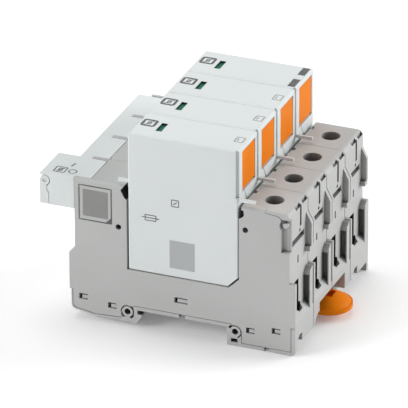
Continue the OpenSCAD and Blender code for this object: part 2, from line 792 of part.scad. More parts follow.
// Shell of a plug, open to the front
module plug_housing(k) {
  y = pole_y(k);
  y0 = y + plug_y0 + plug_wall;
  y1 = y + plug_y1;
  lever_y0 = y + lever_y - lever_w / 2 - play;
  lever_y1 = y + lever_y + lever_w / 2 + play;
  pin_room = pin_len - play + eps * 10;
  shelf_z = flag_z - play - shelf_t;
  color(plug_white) {
    difference() {
      along_y(y0, y1) plug_area(0);
      difference() {
        along_y(y0 - 1, y1 - plug_wall) plug_area(plug_wall);
        block([pocket_x - plug_wall, lever_y0 - plug_wall, pivot_z - 3.2 - plug_wall],
              [plug_x1, lever_y1 + plug_wall, lever_top + play + plug_wall]);
      }
      block([pocket_x, lever_y0, pivot_z], [plug_x1 + 1, lever_y1, lever_top + play]);
      rod_y(pivot_x, pivot_z, lever_t / 2 + play, lever_y0, lever_y1);
      block([pivot_x, lever_y0, pivot_z - lever_t / 2 - play], [plug_x1 + 1, lever_y1, pivot_z]);
      rod_y(pivot_x, pivot_z, pivot_r + 0.05, lever_y0 - pin_room, lever_y1 + pin_room);
      block([pocket_x - corner_d, lever_y1 - corner_cut, lever_top - corner_cut],
            [plug_x1 + 1, lever_y1, lever_top + play]);
      along_x(plug_x1 - 0.5, plug_x1 + 1) polygon([
        [lever_y0 + 1.6, pivot_z - 1], [lever_y0 + 2.1, pivot_z - 1],
        [lever_y0 + 4.8, shoulder_z - 1], [lever_y0 + 4.3, shoulder_z - 1]]);
      block([window_x - window_w / 2, y + window_y - window_len / 2, plug_top_z - plug_wall - 1],
            [window_x + window_w / 2, y + window_y + window_len / 2, plug_top_z + 1]);
      block([flag_x0 - play, y + window_y - flag_w / 2 - play, flag_z - play],
            [flag_x1 + flag_travel + play, y + window_y + flag_w / 2 + play, plug_top_z - window_skin]);
      for (x = blade_x)
        block([x - blade_w / 2 - seam, y + mid - blade_t / 2 - seam, plug_seat_z - 1],
              [x + blade_w / 2 + seam, y + mid + blade_t / 2 + seam, plug_seat_z + plug_wall + 1]);
    }
    block([window_x - window_w / 2 - 2 * flag_step, y + window_y - flag_w / 2, shelf_z],
          [window_x + window_w / 2 + flag_step, y1 - plug_wall + eps, shelf_z + shelf_t]);
    for (x = [varistor_x0 + post_r, varistor_x1 - 2.5 * post_r],
         z = [varistor_z0 + 2.5 * post_r, varistor_z1 - 2.5 * post_r])
      rod_y(x, z, post_r, y + varistor_y + varistor_t + play, y1 - plug_wall + eps);
  }
}

// Side cover of a plug, with the ears that rest on the shoulders
module plug_cover(k) {
  y0 = pole_y(k) + plug_y0;
  y1 = y0 + plug_wall - eps;
  color(plug_white) {
    difference() {
      along_y(y0, y1) plug_area(0);
      along_x(plug_x0 - 1, plug_x1 + 1) corner_waste([y0, plug_top_z], -1, 1, plug_r);
      along_z(plug_seat_z - 1, plug_top_z + 1) {
        corner_waste([plug_x0, y0], -1, -1, plug_r);
        corner_waste([plug_x1, y0], 1, -1, plug_r * 0.6);
      }
      block([plug_x1 - rebate, y0 - 1, ear_z + ear_t], [plug_x1 + 1, y1 + 1, plug_top_z + 1]);
    }
    block([plug_x0 - ear_len * 0.6, y0 + 0.4, ear_z], [plug_x0 + plug_r + eps, y1, ear_z + ear_t]);
    block([plug_x1 - rebate, y0 + 0.4, ear_z], [plug_x1 + ear_len, y1, ear_z + ear_t]);
  }
}

// Two blades of a plug
module plug_blades(k) {
  y = pole_y(k) + mid;
  color(copper) for (x = blade_x)
    block([x - blade_w / 2, y - blade_t / 2, blade_z],
          [x + blade_w / 2, y + blade_t / 2, varistor_z0 - play]);
}

// Varistor block of a plug
module varistor(k) {
  y = pole_y(k) + varistor_y;
  color(disc_blue) along_y(y, y + varistor_t)
    rounded(varistor_x0, varistor_z0, varistor_x1, varistor_z1, varistor_r);
}

// Sliding status flag under the window
module status_flag(k) {
  y = pole_y(k) + window_y;
  color(flag_green) along_z(flag_z, flag_z + flag_t)
    rounded(flag_x0, y - flag_w / 2, flag_x1, y + flag_w / 2, 0.4);
}

// Ejector lever with two pivot pins
module ejector_lever(k) {
  y = pole_y(k) + lever_y;
  half = lever_w / 2;
  back = pivot_x - lever_t / 2;
  face = pivot_x + lever_t / 2;
  color(signal_orange) {
    difference() {
      along_y(y - half, y + half) {
        translate([back, pivot_z]) square([lever_t, lever_h]);
        translate([pivot_x, pivot_z]) circle(lever_t / 2);
      }
      along_x(back - 1, face + 1) corner_waste([y + half, lever_top], 1, 1, corner_cut);
    }
    rod_y(pivot_x, pivot_z, pivot_r, y - half - pin_len, y + half + pin_len);
  }
}

// Sliding rail latch with a domed grip
module rail_latch() {
  half = latch_w / 2;
  rib_z = (latch_z0 + latch_z1) / 2;
  back = right_skirt - grip_back;
  color(signal_orange) difference() {
    union() {
      along_y(-half, half) polygon([
        [latch_tip + 1, latch_z0], [latch_x, latch_z0], [latch_x, latch_z1 - play],
        [latch_tip + 0.6, latch_z1 - play], [latch_tip, latch_z1 - 0.8]]);
      block([rib_x0, -half - rib_w + play, rib_z - 0.7], [rib_x1, half + rib_w - play, rib_z + 0.7]);
      translate([latch_x, 0, grip_z0]) cylinder(r = latch_r, h = grip_t);
      translate([latch_x, 0, grip_z0 + grip_t - eps]) intersection() {
        cylinder(r = dome_r, h = 2 * dome_h);
        translate([0, 0, dome_h - dome_ball]) sphere(dome_ball);
      }
    }
    block([latch_tip - 1, -latch_r - 1, latch_z1 - play], [back, latch_r + 1, grip_z + 1]);
    for (s = [-half - latch_r, half]) block([rib_x1, s, latch_z0 - 1], [back, s + latch_r, grip_z + 1]);
    block([latch_x - tool_len / 2, -tool_w / 2, grip_z - tool_d],
          [latch_x + tool_len / 2, tool_w / 2, grip_z + 1]);
  }
}

// Plan of the signal module: a strip along the poles and a terminal box
module module_plan() {
  difference() {
    union() {
      translate([module_x0, box_y0]) square([module_x1 - module_x0, module_y1 - box_y0]);
      translate([box_x0, box_y0]) square([module_x1 - box_x0, box_y1 - box_y0]);
    }
    translate([-left_reach - seam, front_y - 1]) square([seat_in + 1, cover_t + seam + 1]);
    for (k = [0:count - 2])
      translate([-left_reach - seam, pole_y(k) + pole_w - back_wall - seam])
        square([seat_in + 1, back_wall + pole_gap + 2 * seam]);
  }
}

// Housing of the signal module, with two hinge ears under its roof
module signal_module() {
  color(plug_white) difference() {
    along_z(module_z0, module_z1) module_plan();
    along_y(box_y0 - 1, box_y1 + 1) {
      polygon([
        [box_x0 - 1, module_z0 - 1], [flap_x1 + seam, module_z0 - 1], [flap_x1 + seam, flap_step_z + seam],
        [flap_neck_x + seam, flap_step_z + 1], [flap_neck_x + seam, pin_z], [box_x0 - 1, pin_z]]);
      translate([pin_x, pin_z]) circle(knuckle_r + play);
      translate([box_x0 - 1, pin_z - eps]) square([knuckle_r + 1, knuckle_r + play]);
    }
    for (y = port_y) block([flap_x1 - 1, y - port_w / 2, port_z - port_w / 2],
                            [flap_x1 + port_d, y + port_w / 2, port_z + port_w / 2]);
    along_y(front_y - 1, module_y1 + 1) corner_waste([box_x0, module_z1], -1, 1, 0.6);
    along_x(box_x0 - 1, module_x1 + 1) corner_waste([box_y0, module_z1], -1, 1, 0.5);
  }
  color(plug_white) for (y = ear_y) difference() {
    along_y(y, y + hinge_ear_w) {
      translate([pin_x, pin_z]) circle(knuckle_r - 0.3);
      translate([pin_x, pin_z - ear_stem / 2]) square([knuckle_r + 4 * play, ear_stem]);
    }
    rod_y(pin_x, pin_z, pin_r, y - 1, y + hinge_ear_w + 1);
  }
}

// Spring terminals in the wire entries of the signal module
module signal_terminals() {
  color(steel) for (y = port_y) difference() {
    block([flap_x1 + port_lip, y - port_w / 2 + seam, port_z - port_w / 2 + seam],
          [flap_x1 + port_d - seam, y + port_w / 2 - seam, port_z + port_w / 2 - seam]);
    block([flap_x1 + port_lip / 2, y - port_w / 2 + port_wall, port_z - port_w / 2 + port_wall],
          [flap_x1 + port_d - port_lip / 2, y + port_w / 2 - port_wall, port_z + port_w / 2 - port_wall]);
  }
}

// Pin of the terminal flap
module flap_pin() {
  color(steel) rod_y(pin_x, pin_z, pin_r, box_y0 + 0.2, box_y1 - 0.2);
}

// Hinged flap over the wire entries
module terminal_flap() {
  color(plug_white) difference() {
    along_y(box_y0, box_y1) {
      translate([pin_x, pin_z]) circle(knuckle_r);
      polygon([
        [box_x0, module_z0], [flap_x1, module_z0], [flap_x1, flap_step_z],
        [flap_neck_x, flap_step_z + 1 - seam], [flap_neck_x, pin_z], [box_x0, pin_z]]);
    }
    rod_y(pin_x, pin_z, pin_r + 0.05, box_y0 - 1, box_y1 + 1);
    for (y = ear_y)
      block([box_x0 - 1, y - play, flap_step_z + 1.4], [flap_x1 + 1, y + hinge_ear_w + play, module_z1]);
  }
}

for (k = poles) {
  pole_housing(k);
  contact_bar(k);
  clamp_cage(k);
  terminal_screw(k);
  plug_housing(k);
  plug_cover(k);
  plug_blades(k);
  varistor(k);
  status_flag(k);
  ejector_lever(k);
}
front_cover();
bridge_bar();
rail_latch();
signal_module();
signal_terminals();
flap_pin();
terminal_flap();
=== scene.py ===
import json

import bmesh
import bpy
import numpy as np
from mathutils import Matrix


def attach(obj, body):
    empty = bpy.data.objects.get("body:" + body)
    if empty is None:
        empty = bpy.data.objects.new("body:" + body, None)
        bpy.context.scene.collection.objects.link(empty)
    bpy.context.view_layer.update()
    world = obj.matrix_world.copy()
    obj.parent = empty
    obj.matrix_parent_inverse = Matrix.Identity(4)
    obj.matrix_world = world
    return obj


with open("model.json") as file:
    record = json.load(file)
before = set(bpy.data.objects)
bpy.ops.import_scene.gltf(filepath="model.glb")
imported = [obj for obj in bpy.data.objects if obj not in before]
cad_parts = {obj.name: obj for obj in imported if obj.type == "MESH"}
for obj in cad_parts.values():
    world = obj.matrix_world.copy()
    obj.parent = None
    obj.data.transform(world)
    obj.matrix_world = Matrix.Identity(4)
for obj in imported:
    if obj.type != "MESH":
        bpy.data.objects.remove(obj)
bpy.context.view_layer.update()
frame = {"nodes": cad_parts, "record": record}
mm = 0.001
polePitch = 19.3
frontY = -2 * polePitch
poleNumbers = (1, 2, 3, 4)
print("frame loaded:", len(frame["nodes"]), "nodes")


def poleY(number):
    return frontY + (number - 1) * polePitch


noiseSpan = (0.3, 0.7)  # most values of a noise lie between these
hollowSpan = (0.25, 0.8)  # open share of a spot: below the first the painted shade is full, above the second there is none
hollowSamples = 8
edgeSamples = 4
driftDetail = 3
fineDetail = 4
grainRough = 0.6
grainDepth = 0.02  # in mm
mergeReach = 1e-7  # in metres


def shaderNodes(name):
    mat = bpy.data.materials.new(name)
    mat.use_nodes = True
    nodes = mat.node_tree.nodes
    links = mat.node_tree.links
    return mat, nodes, links, nodes["Principled BSDF"]


def noiseOn(nodes, links, scale, detail, roughness=0.5):
    coords = nodes.new("ShaderNodeTexCoord")
    noise = nodes.new("ShaderNodeTexNoise")
    noise.inputs["Scale"].default_value = scale
    noise.inputs["Detail"].default_value = detail
    noise.inputs["Roughness"].default_value = roughness
    links.new(coords.outputs["Object"], noise.inputs["Vector"])
    return noise.outputs["Fac"]


def spread(nodes, links, value, low, high, span=noiseSpan):
    ramp = nodes.new("ShaderNodeMapRange")
    ramp.inputs["From Min"].default_value, ramp.inputs["From Max"].default_value = span
    ramp.inputs["To Min"].default_value = low
    ramp.inputs["To Max"].default_value = high
    links.new(value, ramp.inputs["Value"])
    return ramp.outputs["Result"]


# from dark to light as the value grows; light is a colour or another node's output
def shadesOf(nodes, links, value, dark, light):
    mix = nodes.new("ShaderNodeMix")
    mix.data_type = "RGBA"
    mix.inputs["A"].default_value = (*dark, 1)
    if isinstance(light, bpy.types.NodeSocket):
        links.new(light, mix.inputs["B"])
    else:
        mix.inputs["B"].default_value = (*light, 1)
    links.new(value, mix.inputs["Factor"])
    return mix.outputs["Result"]


# painted shade in hollows: where a spot is closed in, the tone of the open surface gives way to a
# darker painted shade colour
def paintShadeInHollows(nodes, links, tone, look, ownShape=True):
    hollow = nodes.new("ShaderNodeAmbientOcclusion")
    hollow.only_local = ownShape
    hollow.samples = hollowSamples
    hollow.inputs["Distance"].default_value = look["hollow"] * mm
    share = spread(nodes, links, hollow.outputs["AO"], 0, 1, hollowSpan)
    return shadesOf(nodes, links, share, look["paintedShade"], tone)


# moulded plastic: a slow drift of tone, a fine spark-eroded grain, rounded edges, and painted
# shade in hollows where the look asks for it
def mouldedPlastic(name, look):
    mat, nodes, links, skin = shaderNodes(name)
    drift = spread(nodes, links, noiseOn(nodes, links, look["drift"], driftDetail), 0, 1)
    tone = shadesOf(nodes, links, drift, look["dark"], look["light"])
    if "hollow" in look:
        tone = paintShadeInHollows(nodes, links, tone, look)
    links.new(tone, skin.inputs["Base Color"])
    grain = noiseOn(nodes, links, look["grain"], fineDetail, grainRough)
    links.new(spread(nodes, links, grain, *look["gloss"]), skin.inputs["Roughness"])
    edge = nodes.new("ShaderNodeBevel")
    edge.samples = edgeSamples
    edge.inputs["Radius"].default_value = look["edge"] * mm
    bump = nodes.new("ShaderNodeBump")
    bump.inputs["Strength"].default_value = look["bump"]
    bump.inputs["Distance"].default_value = grainDepth * mm
    links.new(grain, bump.inputs["Height"])
    links.new(edge.outputs["Normal"], bump.inputs["Normal"])
    links.new(bump.outputs["Normal"], skin.inputs["Normal"])
    skin.inputs["Specular IOR Level"].default_value = look["shine"]
    return mat


# rolled strip and plated steel: drawn lines along one axis, with a little tarnish, and painted
# shade in hollows where the look asks for it
def drawnMetal(name, look):
    mat, nodes, links, skin = shaderNodes(name)
    coords = nodes.new("ShaderNodeTexCoord")
    along = nodes.new("ShaderNodeMapping")
    along.inputs["Scale"].default_value = look["lines"]
    links.new(coords.outputs["Object"], along.inputs["Vector"])
    lines = nodes.new("ShaderNodeTexNoise")
    lines.inputs["Scale"].default_value = 1
    lines.inputs["Detail"].default_value = driftDetail
    links.new(along.outputs["Vector"], lines.inputs["Vector"])
    patches = noiseOn(nodes, links, look["tarnish"], fineDetail)
    tarnish = spread(nodes, links, patches, 0, 1)
    tone = shadesOf(nodes, links, tarnish, look["dark"], look["light"])
    # painted shade here also counts nearby parts, not only the piece's own shape
    if "hollow" in look:
        tone = paintShadeInHollows(nodes, links, tone, look, ownShape=False)
    links.new(tone, skin.inputs["Base Color"])
    gloss = spread(nodes, links, lines.outputs["Fac"], *look["gloss"])
    links.new(gloss, skin.inputs["Roughness"])
    skin.inputs["Metallic"].default_value = 1
    return mat


# drift and grain are noise scales, edge and hollow are in mm; hollow is how far the painted shade
# reaches
# the grey is painted darker as shade in its own recesses, holes and creases
greyLook = {"dark": (0.477, 0.484, 0.475), "light": (0.505, 0.512, 0.503),
            "drift": 28, "grain": 5200, "gloss": (0.48, 0.62), "bump": 0.18, "edge": 0.22,
            "shine": 0.4, "hollow": 7.6, "paintedShade": (0.140, 0.140, 0.136)}
whiteLook = {"dark": (0.697, 0.733, 0.733), "light": (0.722, 0.757, 0.757),
             "drift": 24, "grain": 5600, "gloss": (0.54, 0.68), "bump": 0.14, "edge": 0.2,
             "shine": 0.3}
orangeLook = {"dark": (0.80, 0.195, 0.002), "light": (0.88, 0.232, 0.004),
              "drift": 60, "grain": 4200, "gloss": (0.42, 0.56), "bump": 0.12, "edge": 0.2,
              "shine": 0.07}
flagLook = {"dark": (0.030, 0.190, 0.110), "light": (0.045, 0.240, 0.145),
            "drift": 90, "grain": 3600, "gloss": (0.22, 0.34), "bump": 0.06, "edge": 0.1,
            "shine": 0.5}
coatLook = {"dark": (0.030, 0.060, 0.130), "light": (0.045, 0.085, 0.170),
            "drift": 120, "grain": 1500, "gloss": (0.18, 0.32), "bump": 0.3, "edge": 0.4,
            "shine": 0.5}
inkLook = {"dark": (0.115, 0.120, 0.122), "light": (0.155, 0.160, 0.162),
           "drift": 400, "grain": 7000, "gloss": (0.5, 0.66), "bump": 0.1, "edge": 0.02,
           "shine": 0.3}
paleInkLook = {**inkLook, "dark": (0.235, 0.245, 0.245), "light": (0.285, 0.295, 0.295)}
plateLook = {"dark": (0.250, 0.250, 0.246), "light": (0.286, 0.286, 0.281),
             "drift": 60, "grain": 6000, "gloss": (0.4, 0.52), "bump": 0.08, "edge": 0.05,
             "shine": 0.4}
sidePlateLook = {**plateLook, "dark": (0.400, 0.415, 0.420), "light": (0.440, 0.455, 0.460)}
# near-black green for the walls of the status windows: painted shade
windowShadeLook = {"dark": (0.006, 0.040, 0.024), "light": (0.010, 0.055, 0.034),
             "drift": 90, "grain": 3600, "gloss": (0.3, 0.44), "bump": 0.06, "edge": 0.02,
             "shine": 0.3}
shadeLook = {**windowShadeLook, "dark": (0.010, 0.010, 0.010), "light": (0.016, 0.016, 0.016),
             "gloss": (0.5, 0.66), "shine": 0.2}
copperLook = {"dark": (0.55, 0.26, 0.13), "light": (0.78, 0.42, 0.25),
              "lines": (90, 2600, 2600), "tarnish": 180, "gloss": (0.24, 0.42)}
# the zinc is painted darker as shade where it is closed in, also by other parts
zincLook = {"dark": (0.50, 0.51, 0.52), "light": (0.66, 0.67, 0.68),
            "lines": (1800, 1800, 120), "tarnish": 180, "gloss": (0.28, 0.46),
            "hollow": 12, "paintedShade": (0.030, 0.030, 0.031)}

finishes = {
    "grey_plastic": mouldedPlastic("greyMoulding", greyLook),
    "white_plastic": mouldedPlastic("whiteMoulding", whiteLook),
    "orange_plastic": mouldedPlastic("orangeMoulding", orangeLook),
    "flag_green": mouldedPlastic("greenFlag", flagLook),
    "blue_coating": mouldedPlastic("blueCoating", coatLook),
    "copper": drawnMetal("copperStrip", copperLook),
    "zinc_steel": drawnMetal("zincSteel", zincLook),
}
inkMat = mouldedPlastic("printedMark", inkLook)
paleInkMat = mouldedPlastic("paleMark", paleInkLook)
plateMat = mouldedPlastic("labelPlate", plateLook)
sidePlateMat = mouldedPlastic("sideLabel", sidePlateLook)
windowShadeMat = mouldedPlastic("windowShade", windowShadeLook)
shadeMat = mouldedPlastic("entryShade", shadeLook)
for part in frame["record"]["subparts"]:
    meshData = frame["nodes"][part["node"]].data
    meshData.materials.clear()
    meshData.materials.append(finishes[part["material_slot"]])


# a grid of points, rows by columns, becomes quads between neighbours; loops close by wrapping
def gridPiece(name, grid, mat, closeRows=False, closeCols=False):
    rows, cols = grid.shape[:2]
    r = np.arange(rows if closeRows else rows - 1)[:, None]
    c = np.arange(cols if closeCols else cols - 1)[None, :]
    r2, c2 = (r + 1) % rows, (c + 1) % cols
    corners = [r * cols + c, r2 * cols + c, r2 * cols + c2, r * cols + c2]
    quads = np.stack(corners, -1).reshape(-1, 4)
    mesh = bpy.data.meshes.new(name)
    mesh.from_pydata((grid.reshape(-1, 3) * mm).tolist(), [], quads.tolist())
    work = bmesh.new()
    work.from_mesh(mesh)
    bmesh.ops.remove_doubles(work, verts=work.verts, dist=mergeReach)
    bmesh.ops.recalc_face_normals(work, faces=work.faces)
    work.to_mesh(mesh)
    work.free()
    mesh.shade_smooth()
    mesh.materials.append(mat)
    piece = bpy.data.objects.new(name, mesh)
    bpy.context.collection.objects.link(piece)
    return piece


def settle(piece, body):
    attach(piece, body)


# a face is an origin with three directions: side and up in its plane, out from it
def levelFace(y, z):
    return (0, y, z), (1, 0, 0), (0, 1, 0), (0, 0, 1)


def uprightFace(y):
    return (0, y, 0), (1, 0, 0), (0, 0, 1), (0, -1, 0)


# a flat drawing laid on a face: origin plus a times side plus b times up, lifted along out
def onFace(face, flat, lift):
    origin, side, up, out = (np.array(v, float) for v in face)
    lifted = np.asarray(lift)[..., None] * out
    return origin + flat[..., :1] * side + flat[..., 1:2] * up + lifted


# rounded rectangle round a middle, as one closed loop: four quarter arcs, each centre lying
# one radius in from its corner
def roundLoop(at, size, r, steps=6):
    turn = np.linspace(0, np.pi / 2, steps)
    corner = np.array([[1, 1], [-1, 1], [-1, -1], [1, -1]])
    angle = turn[None, :] + np.arange(4)[:, None] * np.pi / 2
    centre = corner * (np.array(size) / 2 - r)
    arcs = centre[:, None, :] + r * np.stack([np.cos(angle), np.sin(angle)], -1)
    return np.array(at) + arcs.reshape(-1, 2)


# straight stroke through a middle, from minus its end to plus its end
def strokePath(at, end, points):
    end = np.array(end)
    return np.array(at) + np.linspace(-end, end, points)


# both ends of a tube drawn to a point: the first and last rings repeated at their middles
def closeEnds(grid):
    ends = grid[[0, -1]].mean(1, keepdims=True).repeat(grid.shape[1], 1)
    return np.concatenate([ends[:1], grid, ends[1:]])


# ridge: a low rounded section carried along a path in the face, set off along the path's left
def ridge(name, face, path, width, height, mat, closed=True):
    if closed:
        ahead = np.roll(path, -1, 0) - np.roll(path, 1, 0)
    else:
        ahead = np.gradient(path, axis=0)
    ahead /= np.linalg.norm(ahead, axis=1, keepdims=True)
    left = np.stack([-ahead[:, 1], ahead[:, 0]], -1)
    across = np.array([-0.5, -0.5, -0.32, 0.32, 0.5, 0.5]) * width
    lift = np.array([-0.6, 0.55, 1.0, 1.0, 0.55, -0.6]) * height
    if not closed:
        path = np.concatenate([path[:1], path, path[-1:]])
        left = np.concatenate([left[:1] * 0, left, left[-1:] * 0])
    flat = path[:, None, :] + left[:, None, :] * across[None, :, None]
    grid = onFace(face, flat, np.broadcast_to(lift, flat.shape[:2]))
    return gridPiece(name, grid, mat, closeRows=closed, closeCols=True)


# plate: the loop scaled from the middle of its underside to the rim and back, the rim rolled down
def plate(name, face, loop, height, mat):
    share = np.array([0.0, 1.0, 1.0, 0.985, 0.96, 0.5, 0.0])
    lift = np.array([-0.6, -0.6, 0.4, 0.85, 1.0, 1.0, 1.0]) * height
    middle = loop.mean(0)
    flat = middle + (loop - middle)[None] * share[:, None, None]
    grid = onFace(face, flat, np.broadcast_to(lift[:, None], flat.shape[:2]))
    return gridPiece(name, grid, mat, closeCols=True)


def printLine(body, name, face, path, width, height, mat=inkMat, closed=True):
    settle(ridge(name, face, path, width, height, mat, closed), body)


def printField(body, name, face, loop, height, mat=inkMat):
    settle(plate(name, face, loop, height, mat), body)


plugTopZ = 72.6
topMarks = {"frameAt": (-17.2, 11.6), "frameSize": (4.8, 4.7), "frameRound": 0.6,
            "frameLine": 1.05, "line": 0.42, "height": 0.03, "boxSize": (1.152, 2.068),
            "boxRound": 0.15,
            "slant": [[-0.32, -0.3], [-0.2, -0.3], [0.2, 0.3], [0.32, 0.3]]}  # shares of the frame
squareMarks = {"at": (19.0, 10.4), "size": (3.2, 4.0), "round": 0.3, "line": 0.4, "height": 0.03,
               "bar": [[-0.2, -0.24], [-0.2, 0.24]]}  # shares of the square
windowLook = {"at": (-11.6, 9.75), "size": (2.34, 6.94), "round": 0.1, "cornerSteps": 3,
              "low": -0.66, "high": -0.03, "wall": 0.06}


def markPlugTop(number):
    face, body = levelFace(poleY(number), plugTopZ), "plug_%d" % number
    at, size = topMarks["frameAt"], topMarks["frameSize"]
    line, height = topMarks["line"], topMarks["height"]
    rim = roundLoop(at, size, topMarks["frameRound"])
    printLine(body, "topFrame_%d" % number, face, rim, topMarks["frameLine"], height)
    box = roundLoop(at, topMarks["boxSize"], topMarks["boxRound"])
    printLine(body, "topSymbolBox_%d" % number, face, box, line, height)
    slant = np.array(at) + np.array(topMarks["slant"]) * size
    printLine(body, "topSymbolSlant_%d" % number, face, slant, line, height, closed=False)


# painted shade in a status window: a dark green sheet, its outline drawn up along the wall, then
# down again inside it
def shadeWindow(number):
    outer = np.array(windowLook["size"])
    inner = outer - 2 * windowLook["wall"]
    rings = np.stack([
        roundLoop(windowLook["at"], size, windowLook["round"], windowLook["cornerSteps"])
        for size in (outer, outer, inner, inner)])
    low, high = windowLook["low"], windowLook["high"]
    depth = np.array([low, high, high, low])
    grid = onFace(levelFace(poleY(number), plugTopZ), rings,
                  np.broadcast_to(depth[:, None], rings.shape[:2]))
    piece = gridPiece("windowLiner_%d" % number, grid, windowShadeMat, closeRows=True, closeCols=True)
    settle(piece, "plug_%d" % number)


def markSquare(number):
    face, body = levelFace(poleY(number), plugTopZ), "plug_%d" % number
    at, size = squareMarks["at"], squareMarks["size"]
    line, height = squareMarks["line"], squareMarks["height"]
    square = roundLoop(at, size, squareMarks["round"])
    printLine(body, "topSquare_%d" % number, face, square, line, height, paleInkMat)
    bar = np.array(at) + np.array(squareMarks["bar"]) * size
    printLine(body, "topSquareBar_%d" % number, face, bar, line, height, paleInkMat,
              closed=False)


for number in poleNumbers:
    markPlugTop(number)
    shadeWindow(number)
    if number != poleNumbers[-1]:
        markSquare(number)

# the last plug has a dark field with a pale window where the others have a square
fieldLook = {"at": (19.9, 10.2), "size": (2.9, 17.0), "round": 0.3, "height": 0.04,
             "windowSize": (2.9, 3.9), "windowRound": 0.2, "windowHeight": 0.06}
lastTop = levelFace(poleY(poleNumbers[-1]), plugTopZ)
field = roundLoop(fieldLook["at"], fieldLook["size"], fieldLook["round"])
printField("plug_4", "topField", lastTop, field, fieldLook["height"])
fieldWindow = roundLoop(fieldLook["at"], fieldLook["windowSize"], fieldLook["windowRound"])
printField("plug_4", "topFieldWindow", lastTop, fieldWindow, fieldLook["windowHeight"],
           finishes["white_plastic"])
print("plug marks placed")

# front of the first plug: a fuse sign, a small square and a plain plate
plugInset = 0.15
plugFront = uprightFace(frontY + plugInset)
fuseLook = {"at": (-12.4, 39.65), "size": (4.3, 2.2), "round": 0.15, "leadEnd": (3.5, 0),
            "leadPoints": 5, "line": 0.38, "height": 0.025}
fuseBox = roundLoop(fuseLook["at"], fuseLook["size"], fuseLook["round"])
printLine("plug_1", "fuseBox", plugFront, fuseBox, fuseLook["line"], fuseLook["height"])
fuseLead = strokePath(fuseLook["at"], fuseLook["leadEnd"], fuseLook["leadPoints"])
printLine("plug_1", "fuseLead", plugFront, fuseLead, fuseLook["line"], fuseLook["height"],
          closed=False)
sideMark = {"at": (-2.6, 47.3), "size": (2.8, 2.7), "round": 0.2, "barEnd": (0.7, 0.6),
            "barPoints": 4, "line": 0.36, "height": 0.025}
sideSquare = roundLoop(sideMark["at"], sideMark["size"], sideMark["round"])
printLine("plug_1", "sideSquare", plugFront, sideSquare, sideMark["line"], sideMark["height"])
sideBar = strokePath(sideMark["at"], sideMark["barEnd"], sideMark["barPoints"])
printLine("plug_1", "sideSquareBar", plugFront, sideBar, sideMark["line"], sideMark["height"],
          closed=False)
sidePlate = {"at": (0.1, 26.2), "size": (10.0, 11.5), "round": 0.4, "height": 0.025}
sideLoop = roundLoop(sidePlate["at"], sidePlate["size"], sidePlate["round"])
printField("plug_1", "sidePlate", plugFront, sideLoop, sidePlate["height"], sidePlateMat)
print("plug side marks placed")

# cover plate: a square frame with one filled corner round a plain field
labelLook = {"left": -40.9, "right": -28.0, "low": 34.3, "high": 48.45, "corner": 2.5,
             "line": 0.55, "height": 0.03, "at": (-34.4, 41.45), "size": (10.1, 11.0),
             "round": 0.4, "cuts": 8}
coverFace = uprightFace(frontY)
labelLoop = np.array([
    [labelLook["left"], labelLook["low"]], [labelLook["right"], labelLook["low"]],
    [labelLook["right"], labelLook["high"]], [labelLook["left"], labelLook["high"]]])
# each side of the loop is cut into short lengths, so the ridge turns only at the corners
step = np.linspace(0, 1, labelLook["cuts"], endpoint=False)[None, :, None]
nextCorner = np.roll(labelLoop, -1, 0)
fineLoop = (labelLoop[:, None] * (1 - step) + nextCorner[:, None] * step).reshape(-1, 2)
printLine("base", "coverPlateFrame", coverFace, fineLoop, labelLook["line"], labelLook["height"])
cornerLoop = labelLoop[1] + np.array([[0, 0], [0, 1], [-1, 0]]) * labelLook["corner"]
printField("base", "coverPlateCorner", coverFace, cornerLoop, labelLook["height"])
fieldLoop = roundLoop(labelLook["at"], labelLook["size"], labelLook["round"])
printField("base", "coverPlate", coverFace, fieldLoop, labelLook["height"], plateMat)
print("cover plate placed")

# tops of the joints between the poles: a flush strip along X, the right one bent down at its
# end with the rounded edge of the housing
jointLook = {"z": 50.9, "gap": 0.5, "play": 0.02, "deep": 0.6, "round": 2.2,
             "bend": np.pi / 3, "bendSteps": 7, "right": (23.7, 42.5), "left": (-35.6, -22.9)}


def jointTop(name, number, x0, x1, roundEnd):
    along, drop = np.array([x0, x1]), np.zeros(2)
    if roundEnd:
        turn = np.linspace(0, jointLook["bend"], jointLook["bendSteps"])
        r = jointLook["round"]
        along = np.concatenate([[x0], x1 - r + r * np.sin(turn)])
        drop = np.concatenate([[0], r * (1 - np.cos(turn))])
    top = jointLook["z"] - drop
    back = poleY(number) - jointLook["play"]
    near = back - jointLook["gap"] + 2 * jointLook["play"]
    deep = jointLook["deep"]
    ring = np.array([[near, -deep], [near, 0], [back, 0], [back, -deep]])
    grid = np.stack(np.broadcast_arrays(
        along[:, None], ring[None, :, 0], top[:, None] + ring[None, :, 1]), -1)
    piece = gridPiece(name, closeEnds(grid), finishes["grey_plastic"], closeCols=True)
    settle(piece, "base")


for number in poleNumbers[1:]:
    jointTop("jointRight_%d" % number, number, *jointLook["right"], True)
    jointTop("jointLeft_%d" % number, number, *jointLook["left"], False)
print("pole joints topped")


# painted shade: a thin near-black band on the wall of a hollow, where there is only shade, its
# path in the section carried along one axis
def paintShadeSheet(name, outer, inner, axis, reach, number):
    edges = [(reach[0], outer), (reach[1], outer), (reach[1], inner), (reach[0], inner)]
    grid = np.stack([np.insert(path, axis, at, axis=1) for at, path in edges], 1)
    grid = closeEnds(grid) + (0, poleY(number), 0)
    settle(gridPiece(name, grid, shadeMat, closeCols=True), "base")


# far side of a wire entry, painted black as shade: down the straight wall and round the keyhole
entryLook = {"x": (40.8, 42.46), "wallY": 9.55, "top": 20.65, "keyZ": 8.8, "keyR": 2.1,
             "turn": (90, -166), "steps": 25, "play": 0.02, "thick": 0.05}


